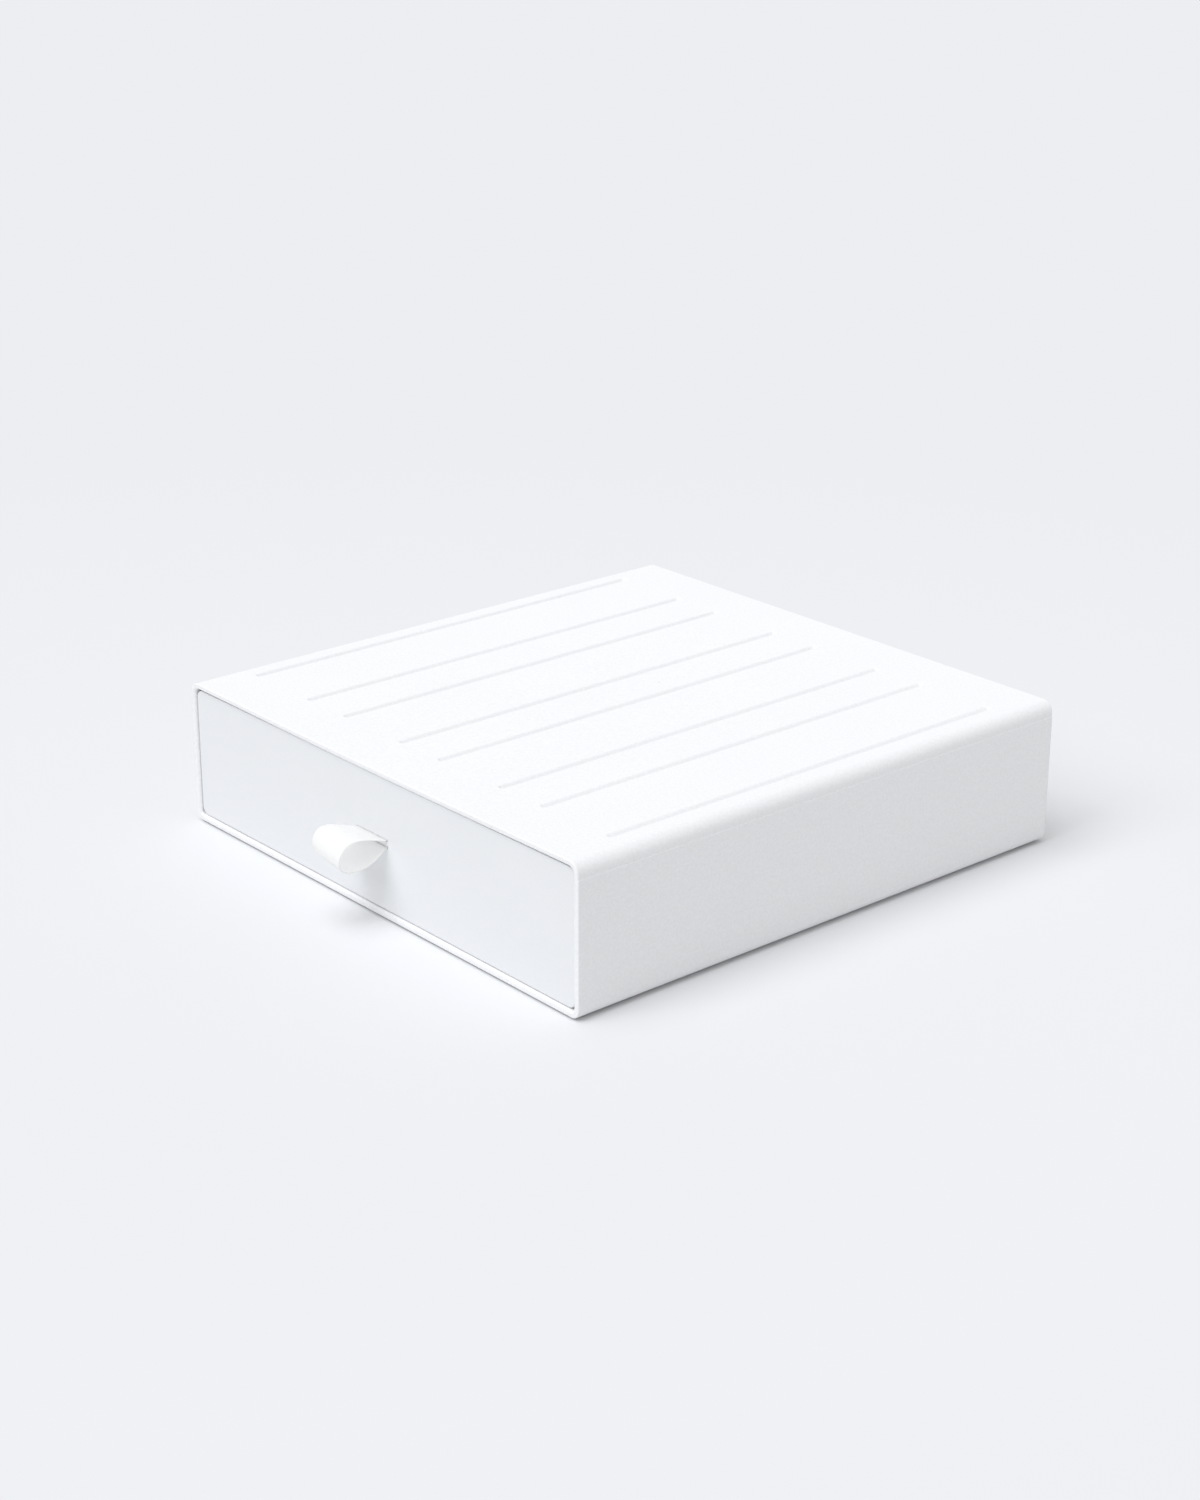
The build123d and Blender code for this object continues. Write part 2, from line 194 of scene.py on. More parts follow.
@dataclass(frozen=True)
class MouldedPlastic:
    """Satin moulded plastic with the fine grain of an etched mould.

    A pitch is the size of a pattern's features and a depth the height of its relief.
    Speckle and cloudiness are the shares by which grain and flow change the colour. A groove
    is painted darker by a share of its depth, as painted shade, and the round mark of the
    mould's gate is darker by its grey.
    """

    name: str
    colour: Colour
    roughness: float = 0.5
    roughness_drift: float = 0.04
    grain_pitch: float = 0.0007
    grain_depth: float = 0.00005
    grain_detail: float = 2.0
    flow_pitch: float = 0.045
    flow_depth: float = 0.00012
    flow_detail: float = 1.0
    speckle: float = 0.014
    cloudiness: float = 0.008
    groove_painted_shade: float = 0.09
    gate_place: Place = (0.0019, 0.0331, 0.065)
    gate_radius: float = 0.0009
    gate_grey: float = 0.0
    index: float = 1.46

    def material(self) -> bpy.types.Material:
        """Build the material: even colour with faint clouds, fine grain, slow waviness, painted
        groove shade.

        Returns:
            The material.
        """
        made = bpy.data.materials.new(self.name)
        made.use_nodes = True
        wiring = Wiring(made.node_tree)
        where = wiring.node("ShaderNodeTexCoord").outputs["Object"]
        grain = wiring.noise(where, self.grain_pitch, self.grain_detail)
        flow = wiring.noise(where, self.flow_pitch, self.flow_detail)
        # Painted shade: the colour darkens with each point's groove depth. The gate mark is darker
        # too.
        groove = wiring.node("ShaderNodeAttribute", attribute_name=CaseShell.GROOVE_SHARE)
        groove_shade_and_gate_mark = wiring.maths("MULTIPLY_ADD", groove.outputs["Fac"], -self.groove_painted_shade, 1.0)
        gate = wiring.maths("LESS_THAN", wiring.distance(where, self.gate_place), self.gate_radius)
        groove_shade_and_gate_mark = wiring.maths("MULTIPLY_ADD", gate, -self.gate_grey, groove_shade_and_gate_mark)
        clouds = wiring.spread(flow, 1 - self.cloudiness / 2, 1 + self.cloudiness / 2)
        specks = wiring.spread(grain, 1 - self.speckle / 2, 1 + self.speckle / 2)
        factor = wiring.maths("MULTIPLY", wiring.maths("MULTIPLY", clouds, specks), groove_shade_and_gate_mark)
        fine = wiring.node("ShaderNodeBump", {"Height": grain, "Distance": self.grain_depth})
        wave = wiring.node(
            "ShaderNodeBump",
            {"Height": flow, "Distance": self.flow_depth, "Normal": fine.outputs[0]},
        )
        drift = self.roughness_drift
        shader = wiring.node(
            "ShaderNodeBsdfPrincipled",
            {
                "Base Color": wiring.tint(self.colour, factor),
                "Roughness": wiring.spread(flow, self.roughness - drift, self.roughness + drift),
                "IOR": self.index,
                "Normal": wave.outputs[0],
            },
        )
        wiring.node("ShaderNodeOutputMaterial", {"Surface": shader.outputs[0]})
        return made


@dataclass(frozen=True)
class WovenRibbon:
    """Plain white woven ribbon, whose threads follow its UV map of real lengths."""

    name: str
    colour: Colour
    thread_pitch: float = 0.00042
    thread_depth: float = 0.00006
    fuzz_share: float = 0.4
    fuzz_detail: float = 3.0
    gap_shade: float = 0.02
    roughness: float = 0.85
    sheen: float = 0.3
    let_through: float = 0.66

    def material(self) -> bpy.types.Material:
        """Build the material: over-and-under threads, soft sheen, light let through.

        Returns:
            The material.
        """
        made = bpy.data.materials.new(self.name)
        made.use_nodes = True
        wiring = Wiring(made.node_tree)
        lengths = wiring.node("ShaderNodeUVMap", uv_map=PullRibbon.UV_NAME)
        axes = wiring.node("ShaderNodeSeparateXYZ", {"Vector": lengths.outputs[0]})
        rate = math.pi / self.thread_pitch
        waves = [
            wiring.maths("SINE", wiring.maths("MULTIPLY", axes.outputs[i], rate)) for i in (0, 1)
        ]
        weave = wiring.maths("MULTIPLY_ADD", wiring.maths("MULTIPLY", *waves), 0.5, 0.5)
        where = wiring.node("ShaderNodeTexCoord").outputs["Object"]
        fuzz = wiring.noise(where, self.thread_pitch, self.fuzz_detail)
        height = wiring.maths("MULTIPLY_ADD", fuzz, self.fuzz_share, weave)
        shade = wiring.maths("MULTIPLY_ADD", weave, self.gap_shade, 1 - self.gap_shade)
        bump = wiring.node("ShaderNodeBump", {"Height": height, "Distance": self.thread_depth})
        colour = wiring.tint(self.colour, shade)
        cloth = wiring.node(
            "ShaderNodeBsdfPrincipled",
            {
                "Base Color": colour,
                "Roughness": self.roughness,
                "Sheen Weight": self.sheen,
                "Normal": bump.outputs[0],
            },
        )
        backlit = wiring.node(
            "ShaderNodeBsdfTranslucent", {"Color": colour, "Normal": bump.outputs[0]}
        )
        shader = wiring.node(
            "ShaderNodeMixShader",
            {0: self.let_through, 1: cloth.outputs[0], 2: backlit.outputs[0]},
        )
        wiring.node("ShaderNodeOutputMaterial", {"Surface": shader.outputs[0]})
        return made


@dataclass(frozen=True)
class Fade:
    """A change of shade between two distances, from one to a level."""

    start: float
    end: float
    level: float


@dataclass(frozen=True)
class StudioSurface:
    """Matt pale paper under the object, with painted shade just before it and painted light falloff
    far off.
    """

    name: str
    colour: Colour
    centre: Place = (0.05, -0.15, 0.0)
    # Painted light: the first fade leaves the floor darker round the centre, as painted shade, and
    # the second darkens it with distance, as painted light falloff.
    painted_front_shade: Fade = Fade(0.08, 0.3, 1.025)
    drop: Fade = Fade(0.05, 0.8, 0.955)
    roughness: float = 0.9

    def material(self) -> bpy.types.Material:
        """Build the material: one pale colour, times painted shade near the front and painted light
        falloff.

        Returns:
            The material.
        """
        made = bpy.data.materials.new(self.name)
        made.use_nodes = True
        wiring = Wiring(made.node_tree)
        where = wiring.node("ShaderNodeTexCoord").outputs["Object"]
        away = wiring.distance(where, self.centre)
        front_shade_level, painted_falloff_level = (
            wiring.ramp(away, (fade.start, fade.end), (1.0, fade.level))
            for fade in (self.painted_front_shade, self.drop)
        )
        shader = wiring.node(
            "ShaderNodeBsdfPrincipled",
            {
                "Base Color": wiring.tint(self.colour, wiring.maths("MULTIPLY", front_shade_level, painted_falloff_level)),
                "Roughness": self.roughness,
                "Specular IOR Level": 0.0,
            },
        )
        wiring.node("ShaderNodeOutputMaterial", {"Surface": shader.outputs[0]})
        return made


class RepeatTree:
    """A Geometry Nodes tree that repeats a small shape, with named inputs."""

    FINISH = "Finish"

    def __init__(self, name: str, kinds: dict[str, str]) -> None:
        """Make the tree's inputs and its output.

        Args:
            name: the tree's name.
            kinds: each input's name and the kind of its socket, apart from the finish.
        """
        self.tree = bpy.data.node_groups.new(name, "GeometryNodeTree")
        sockets = self.tree.interface
        sockets.new_socket("Geometry", in_out="OUTPUT", socket_type="NodeSocketGeometry")
        self.identifiers = {
            label: sockets.new_socket(label, in_out="INPUT", socket_type=kind).identifier
            for label, kind in {**kinds, self.FINISH: "NodeSocketMaterial"}.items()
        }
        self.wiring = Wiring(self.tree)
        self.given = self.wiring.node("NodeGroupInput").outputs

    def hand_out(self, rows: Socket, smooth: bool) -> None:
        """Make the repeated shapes real, dress them and hand them out.

        Args:
            rows: the repeated shapes.
            smooth: whether they are shaded smooth.
        """
        wiring = self.wiring
        solid = wiring.node("GeometryNodeRealizeInstances", {0: rows}).outputs[0]
        if smooth:
            solid = wiring.node("GeometryNodeSetShadeSmooth", {0: solid}).outputs[0]
        finish = {"Material": self.given[self.FINISH]}
        dressed = wiring.node("GeometryNodeSetMaterial", {0: solid, **finish})
        wiring.node("NodeGroupOutput", {0: dressed.outputs[0]})

    def run(self, mesh: bpy.types.Mesh, values: dict[str, object]) -> bpy.types.Object:
        """Run the tree on a new object.

        Args:
            mesh: the mesh that it starts from, whose name the object gets.
            values: each input's name and value.

        Returns:
            The object, with the tree's result as its plain mesh.
        """
        made = bpy.data.objects.new(mesh.name, mesh)
        bpy.context.scene.collection.objects.link(made)
        modifier = made.modifiers.new(self.tree.name, "NODES")
        modifier.node_group = self.tree
        for label, value in values.items():
            modifier[self.identifiers[label]] = value
        bpy.context.view_layer.update()
        evaluated = made.evaluated_get(bpy.context.evaluated_depsgraph_get())
        baked = bpy.data.meshes.new_from_object(evaluated)
        made.modifiers.clear()
        made.data = baked
        return made


# ---------------------------------------------------------------- mesh helpers

# Places in metres that are the same to this many decimals count as one.
PLACE_DECIMALS = 7


def mesh_object(name: str, points: np.ndarray, faces: list[tuple[int, ...]]) -> bpy.types.Object:
    """Make a smooth mesh object at the origin.

    Args:
        name: the object's name.
        points: one row of X, Y and Z for each vertex.
        faces: the vertex numbers of each face.

    Returns:
        The new object, linked to the scene.
    """
    mesh = bpy.data.meshes.new(name)
    mesh.from_pydata(points.tolist(), [], faces)
    mesh.update()
    made = bpy.data.objects.new(name, mesh)
    bpy.context.scene.collection.objects.link(made)
    shade_by_area(mesh)
    return made


def shade_by_area(mesh: bpy.types.Mesh) -> None:
    """Set smooth normals in which large faces outweigh the narrow ones of a rounded edge.

    Args:
        mesh: the mesh to shade.
    """
    normals = np.zeros((len(mesh.vertices), 3))
    for face in mesh.polygons:
        normals[list(face.vertices)] += np.array(face.normal) * face.area
    normals /= np.linalg.norm(normals, axis=1)[:, None]
    mesh.shade_smooth()
    mesh.normals_split_custom_set_from_vertices(normals.tolist())


def sorted_places(parts: list[np.ndarray]) -> np.ndarray:
    """Join lists of places into one, in rising order, without repeats."""
    return np.unique(np.round(np.concatenate(parts), PLACE_DECIMALS))


def loop_quads(rings: int, around: int, close_rings: bool) -> list[tuple[int, ...]]:
    """Join rings of vertices into quads.

    Args:
        rings: how many rings there are.
        around: vertices in each ring, which is closed.
        close_rings: whether the last ring joins the first.

    Returns:
        The vertex numbers of each quad.
    """
    last = rings if close_rings else rings - 1
    return [
        (
            ring * around + spot,
            ring * around + (spot + 1) % around,
            (ring + 1) % rings * around + (spot + 1) % around,
            (ring + 1) % rings * around + spot,
        )
        for ring in range(last)
        for spot in range(around)
    ]


def attach(made: bpy.types.Object, body: Body, finish: bpy.types.Material) -> None:
    """Give a finished piece its material and the body that it rides on.

    Args:
        made: the piece.
        body: the body that carries it.
        finish: its material.
    """
    made.data.materials.clear()
    made.data.materials.append(finish)
    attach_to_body(made, body.value)
    LOG.info("%s: %d faces, on %s", made.name, len(made.data.polygons), body.value)


def dress_node(node: str, finish: bpy.types.Material) -> None:
    """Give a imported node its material.

    Args:
        node: the node's name.
        finish: its material.
    """
    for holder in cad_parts[node].material_slots:
        holder.material = finish
    LOG.info("%s: packed shape, dressed in %s", node, finish.name)


# ---------------------------------------------------------------- case


@dataclass
class CaseShell:
    """The outer case: a rounded tube, open in front, with soft grooves in its top.

    The seat is the recess in its back end that holds the back panel. The step is the fine
    mould line along its sides, above which it is narrower. Outside and inside stand for
    shares 0 and 1 of the wall's thickness.
    """

    # Attribute of groove depth, from which the plastic paints shade into the grooves.
    GROOVE_SHARE = "groove_share"

    # How many lines of vertices each form has.
    GROOVE_LINES = 15
    ROOF_LINES = 41
    FLOOR_LINES = 15
    SIDE_LINES = 8
    ROUNDING_LINES = 14
    STRAIGHT_RINGS = 15
    INSIDE_RINGS = 12
    EDGE_RINGS = 6

    # Distances from the front and the back edge at which rings stand.
    FRONT_RINGS = (0.0, 0.0006, 0.004, 0.012, 0.019)
    BACK_RINGS = (0.0, 0.0006, 0.004, 0.012, 0.020)

    # How much of a groove's length the evenly spaced rings fill, and how many groove widths
    # the evenly spaced lines stay away from its middle.
    STRAIGHT_SHARE = 0.94
    GROOVE_ROOM = 0.7

    # Room between the first or the last of some lines and the form beside them.
    SEAT_ROOM = 0.002
    MOUTH_ROOM = 0.003
    STEP_ROOM = 0.002

    # How close the two rings of a sharp edge stand, as a length and as a share of the wall.
    CREASE = 0.00005
    CREASE_SHARE = 0.02

    # How the sag fades: from the middle to the sides, and from front to back.
    SAG_ACROSS = 1.5
    SAG_ALONG = 4

    rib_height: float = 0.0008
    side_wall: float = 0.0030
    roof_wall: float = 0.0024
    floor_wall: float = 0.0028
    top_radius: float = 0.0054
    bottom_radius: float = 0.0042
    rim_radius: float = 0.0005
    mouth_radius: float = 0.0010
    seat_depth: float = 0.0022
    seat_share: float = 0.6
    cell_count: int = 4
    groove_inset: float = 0.0130
    groove_length: float = 0.2145
    groove_width: float = 0.0042
    groove_depth: float = 0.00115
    sag: float = 0.0006
    step_below_top: float = 0.0066
    step_depth: float = 0.0002
    step_edge: float = 0.00003

    def __post_init__(self) -> None:
        """Read the case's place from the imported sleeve."""
        low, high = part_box("case_sleeve")
        self.half_width = high.x
        self.front, self.back = low.y, high.y
        self.under, self.top = low.z + self.rib_height, high.z
        cell = 2 * self.half_width / self.cell_count
        self.groove_x = [
            -self.half_width + number * cell + inset
            for number in range(self.cell_count)
            for inset in (self.groove_inset, cell - self.groove_inset)
        ]
        self.groove_middle = (self.front + self.back) / 2

    def groove_share(self, x: np.ndarray, y: np.ndarray) -> np.ndarray:
        """How deep each point lies in a groove.

        Args:
            x: sideways places on the top.
            y: front-to-back places on the top.

        Returns:
            0 outside the grooves and 1 on their middle lines.
        """
        radius = self.groove_width / 2
        past_end = np.abs(y - self.groove_middle) - (self.groove_length / 2 - radius)
        sideways = np.min([np.abs(x - middle) for middle in self.groove_x], axis=0)
        away = np.hypot(sideways, np.maximum(past_end, 0.0))
        return 0.5 + 0.5 * np.cos(np.pi * np.minimum(away / radius, 1.0))

    def sag_at(self, x: np.ndarray, y: float) -> np.ndarray:
        """How far the roof hangs below its straight line.

        Args:
            x: sideways places on the roof.
            y: front-to-back place.

        Returns:
            The drop, which fades to nothing at the corners and at the back.
        """
        across = np.clip(x / (self.half_width - self.top_radius), -1.0, 1.0)
        along = (y - self.front) / (self.back - self.front)
        return self.sag * (1 - across**2) ** self.SAG_ACROSS * (1 - along**self.SAG_ALONG)

    def top_places(self) -> np.ndarray:
        """Places of the lines along the top.

        Returns:
            Their sideways places from right to left, close together in the grooves.
        """
        edge = self.half_width - self.top_radius
        close = np.linspace(-1.0, 1.0, self.GROOVE_LINES) * self.groove_width / 2
        lines = [middle + close for middle in self.groove_x]
        between = np.linspace(-edge, edge, self.ROOF_LINES)
        clear = np.min([np.abs(between - middle) for middle in self.groove_x], axis=0)
        lines.append(between[clear > self.GROOVE_ROOM * self.groove_width])
        return sorted_places(lines)[::-1]

    def depth_places(self) -> np.ndarray:
        """Places of the outside's rings.

        Returns:
            Their front-to-back places, close together at the grooves' ends.
        """
        close = np.linspace(0.0, 1.0, self.GROOVE_LINES) * self.groove_width
        half = self.groove_length / 2
        ends = [self.groove_middle - half + close, self.groove_middle + half - close]
        share = self.STRAIGHT_SHARE
        straight = np.linspace(-share, share, self.STRAIGHT_RINGS) * half + self.groove_middle
        near = self.front + self.rim_radius + np.array(self.FRONT_RINGS)
        far = self.back - self.rim_radius - np.array(self.BACK_RINGS)
        return sorted_places([near, *ends, straight, far])

    def stations(self) -> list[tuple[float, float]]:
        """Section of the wall, as a closed loop.

        Returns:
            Pairs of front-to-back place and share of the wall, 0 outside and 1 inside.
        """
        wall = (self.side_wall + self.roof_wall) / 2
        turn = np.radians(np.linspace(0, 90, self.EDGE_RINGS))
        rim, mouth = self.rim_radius, self.mouth_radius
        crease, apart = self.CREASE, self.CREASE_SHARE
        seat, seat_share = self.back - self.seat_depth, self.seat_share
        loop = [(y, 0.0) for y in self.depth_places()]
        loop += [
            (self.back - rim + rim * math.sin(a), rim / wall * (1 - math.cos(a))) for a in turn[1:]
        ]
        loop += [(self.back, seat_share - apart), (self.back - crease, seat_share)]
        loop += [(seat + crease, seat_share), (seat, seat_share + apart)]
        loop += [(seat, 1 - apart), (seat - crease, 1.0)]
        inside_ends = seat - self.SEAT_ROOM, self.front + self.MOUTH_ROOM
        loop += [(y, 1.0) for y in np.linspace(*inside_ends, self.INSIDE_RINGS)]
        loop += [(self.front + mouth, 1.0)]
        loop += [
            (self.front + mouth * (1 - math.sin(a)), 1 - mouth / wall * (1 - math.cos(a)))
            for a in turn[1:]
        ]
        loop += [
            (self.front + rim * (1 - math.cos(a)), rim / wall * (1 - math.sin(a)))
            for a in turn[:-1]
        ]
        return loop

    def outline(self, y: float, share: float) -> np.ndarray:
        """One ring of the shell, seen from the front.

        Args:
            y: the ring's front-to-back place.
            share: its depth in the wall, from 0 outside to 1 inside.

        Returns:
            One row of X, Y and Z for each vertex.
        """
        half = self.half_width - share * self.side_wall
        low, high = self.under + share * self.floor_wall, self.top - share * self.roof_wall
        low_radius = self.bottom_radius - share * self.floor_wall
        high_radius = self.top_radius - share * self.roof_wall
        low_edge, high_edge = half - low_radius, half - high_radius
        floor_x = np.linspace(-low_edge, low_edge, self.FLOOR_LINES)
        roof_x = self.top_places() * high_edge / (self.half_width - self.top_radius)
        step = self.top - self.step_below_top
        ledge = [step - self.step_depth - self.step_edge, step - self.step_depth, step]
        heights = np.concatenate(
            [
                np.linspace(low + low_radius, step - self.STEP_ROOM, self.SIDE_LINES),
                [*ledge, step + self.step_edge, high - high_radius],
            ]
        )
        heights[-1] = max(heights[-1], step + self.step_depth)
        turn = np.radians(np.linspace(0, 90, self.ROUNDING_LINES)[1:-1])
        corners = [
            (low_edge, low + low_radius, low_radius, -90),
            (high_edge, high - high_radius, high_radius, 0),
            (-high_edge, high - high_radius, high_radius, 90),
            (-low_edge, low + low_radius, low_radius, 180),
        ]
        arcs = [
            np.c_[x + r * np.cos(turn + math.radians(a)), z + r * np.sin(turn + math.radians(a))]
            for x, z, r, a in corners
        ]
        roof = np.c_[roof_x, np.full(len(roof_x), high) - self.sag_at(roof_x, y)]
        if share == 0.0:
            roof[:, 1] -= self.groove_depth * self.groove_share(roof_x, np.full(len(roof_x), y))
        ring = np.concatenate(
            [
                np.c_[floor_x, np.full(len(floor_x), low)],
                arcs[0],
                np.c_[np.full(len(heights), half), heights],
                arcs[1],
                roof,
                arcs[2],
                np.c_[np.full(len(heights), -half), heights[::-1]],
                arcs[3],
            ]
        )
        if share < self.seat_share:
            ring[ring[:, 1] > step - self.step_depth / 2, 0] *= 1 - self.step_depth / half
        return np.c_[ring[:, 0], np.full(len(ring), y), ring[:, 1]]

    def build(self, finish: bpy.types.Material) -> bpy.types.Object:
        """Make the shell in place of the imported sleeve.

        Args:
            finish: its plastic.

        Returns:
            The shell.
        """
        stations = self.stations()
        rings = [self.outline(y, share) for y, share in stations]
        points = np.concatenate(rings)
        shell = mesh_object("case_shell", points, loop_quads(len(rings), len(rings[0]), True))
        outside = np.repeat([share == 0.0 for _, share in stations], len(rings[0]))
        # Groove depth on the outside's top, kept for the plastic's painted groove shade.
        depth = self.groove_share(points[:, 0], points[:, 1])
        depth[~outside | (points[:, 2] < self.top - self.top_radius)] = 0.0
        layer = shell.data.attributes.new(self.GROOVE_SHARE, "FLOAT", "POINT")
        layer.data.foreach_set("value", depth.astype(np.float32))
        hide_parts("case_sleeve")
        attach(shell, Body.CASE, finish)
        return shell


@dataclass
class StackingRibs:
    """Eight low ribs under the case, in line with its grooves."""

    # Points that are further down than this share of a rib's height, counted from its
    # middle, belong to its nose.
    NOSE_LEVEL = -0.25

    case: CaseShell
    length: float = 0.2120
    width: float = 0.0026
    chamfer: float = 0.0004
    sides: int = 24

    def tree(self) -> RepeatTree:
        """Build the tree that makes one rib and repeats it: two to a cell, cell by cell.

        Returns:
            The tree.
        """
        kinds = {
            "Rib length": "NodeSocketFloat",
            "Rib width": "NodeSocketFloat",
            "Rib height": "NodeSocketFloat",
            "Nose share": "NodeSocketFloat",
            "Cell count": "NodeSocketInt",
            "Cell width": "NodeSocketFloat",
            "Pair gap": "NodeSocketFloat",
            "First rib": "NodeSocketVector",
        }
        tree = RepeatTree("stacking_rib_rows", kinds)
        wiring, given = tree.wiring, tree.given
        bar = wiring.node(
            "GeometryNodeMeshCylinder",
            {
                "Vertices": self.sides,
                "Side Segments": 2,
                "Radius": wiring.maths("MULTIPLY", given["Rib width"], 0.5),
                "Depth": given["Rib height"],
            },
        )
        place = wiring.node("GeometryNodeInputPosition").outputs[0]
        axes = wiring.node("ShaderNodeSeparateXYZ", {0: place})
        nose_level = wiring.maths("MULTIPLY", given["Rib height"], self.NOSE_LEVEL)
        low = wiring.node(
            "FunctionNodeCompare",
            {0: axes.outputs["Z"], 1: nose_level},
            data_type="FLOAT",
            operation="LESS_THAN",
        )
        shrink = wiring.node(
            "ShaderNodeCombineXYZ", {0: given["Nose share"], 1: given["Nose share"], 2: 1.0}
        )
        narrow = wiring.node(
            "ShaderNodeVectorMath", {0: place, 1: shrink.outputs[0]}, operation="MULTIPLY"
        )
        nose = wiring.node(
            "GeometryNodeSetPosition",
            {0: bar.outputs["Mesh"], "Selection": low.outputs[0], "Position": narrow.outputs[0]},
        )
        half = wiring.maths(
            "MULTIPLY", wiring.maths("SUBTRACT", given["Rib length"], given["Rib width"]), 0.5
        )
        stretch = wiring.node(
            "ShaderNodeCombineXYZ",
            {1: wiring.maths("MULTIPLY", wiring.maths("SIGN", axes.outputs["Y"]), half)},
        )
        rib = wiring.node(
            "GeometryNodeSetPosition", {0: nose.outputs[0], "Offset": stretch.outputs[0]}
        )
        pair_step = wiring.node("ShaderNodeCombineXYZ", {0: given["Pair gap"]})
        cell_step = wiring.node("ShaderNodeCombineXYZ", {0: given["Cell width"]})
        pair = wiring.node("GeometryNodeMeshLine", {"Count": 2, "Offset": pair_step.outputs[0]})
        cells = wiring.node(
            "GeometryNodeMeshLine",
            {
                "Count": given["Cell count"],
                "Start Location": given["First rib"],
                "Offset": cell_step.outputs[0],
            },
        )
        two = wiring.node(
            "GeometryNodeInstanceOnPoints",
            {"Points": pair.outputs[0], "Instance": rib.outputs[0]},
        )
        rows = wiring.node(
            "GeometryNodeInstanceOnPoints",
            {"Points": cells.outputs[0], "Instance": two.outputs[0]},
        )
        tree.hand_out(rows.outputs[0], smooth=False)
        return tree

    def build(self, finish: bpy.types.Material) -> bpy.types.Object:
        """Make the ribs on the case.

        Args:
            finish: their plastic.

        Returns:
            The ribs, as one object.
        """
        case = self.case
        cell = 2 * case.half_width / case.cell_count
        values = {
            "Rib length": self.length,
            "Rib width": self.width,
            "Rib height": case.rib_height,
            "Nose share": 1 - 2 * self.chamfer / self.width,
            "Cell count": case.cell_count,
            "Cell width": cell,
            "Pair gap": cell - 2 * case.groove_inset,
            "First rib": (case.groove_x[0], case.groove_middle, case.under - case.rib_height / 2),
            RepeatTree.FINISH: finish,
        }
        made = self.tree().run(bpy.data.meshes.new("stacking_ribs"), values)
        attach(made, Body.CASE, finish)
        return made


@dataclass
class StopCatches:
    """Two catches under the roof that stop the drawer."""

    case: CaseShell
    spacing: float = 0.150
    width: float = 0.022
    length: float = 0.004
    drop: float = 0.002
    from_front: float = 0.040
    bury: float = 0.0006
    edge: float = 0.0004

    def build(self, finish: bpy.types.Material) -> bpy.types.Object:
        """Make the catches, let a little way into the roof.

        Args:
            finish: their plastic.

        Returns:
            The catches, as one object.
        """
        roof = self.case.top - self.case.roof_wall
        middle = self.case.front + self.from_front + self.length / 2
        low, high = roof - self.drop, roof + self.bury
        levels = ((low, self.edge), (low + self.edge, 0.0), (high, 0.0))
        corners = ((-1, -1), (1, -1), (1, 1), (-1, 1))
        walls = loop_quads(len(levels), len(corners), False)
        points: list[Place] = []
        faces: list[tuple[int, ...]] = []
        for side in (-1, 1):
            start = len(points)
            for z, inset in levels:
                across, along = self.width / 2 - inset, self.length / 2 - inset
                for x, y in corners:
                    points.append((side * self.spacing / 2 + x * across, middle + y * along, z))
            faces += [tuple(start + number for number in wall) for wall in walls]
            faces += [tuple(range(start, start + len(corners)))[::-1]]
            faces += [tuple(range(len(points) - len(corners), len(points)))]
        made = mesh_object("stop_catches", np.array(points), faces)
        made.data.shade_flat()
        attach(made, Body.CASE, finish)
        return made


# ---------------------------------------------------------------- drawer


def smooth_route(route: np.ndarray, step: float) -> np.ndarray:
    """Follow a route's points with a smooth line, a Catmull-Rom curve.

    Args:
        route: the points, one row each.
        step: about how far apart the new points are.

    Returns:
        Points along the line, one row each.
    """
    padded = np.concatenate([[2 * route[0] - route[1]], route, [2 * route[-1] - route[-2]]])
    line = []
    for before, start, end, after in zip(padded, padded[1:], padded[2:], padded[3:]):
        count = max(2, round(np.linalg.norm(end - start) / step))
        t = np.linspace(0, 1, count, endpoint=False)[:, None]
        line.append(
            0.5
            * (
                2 * start
                + (end - before) * t
                + (2 * before - 5 * start + 4 * end - after) * t**2
                + (3 * start - before - 3 * end + after) * t**3
            )
        )
    return np.concatenate([*line, route[-1:]])


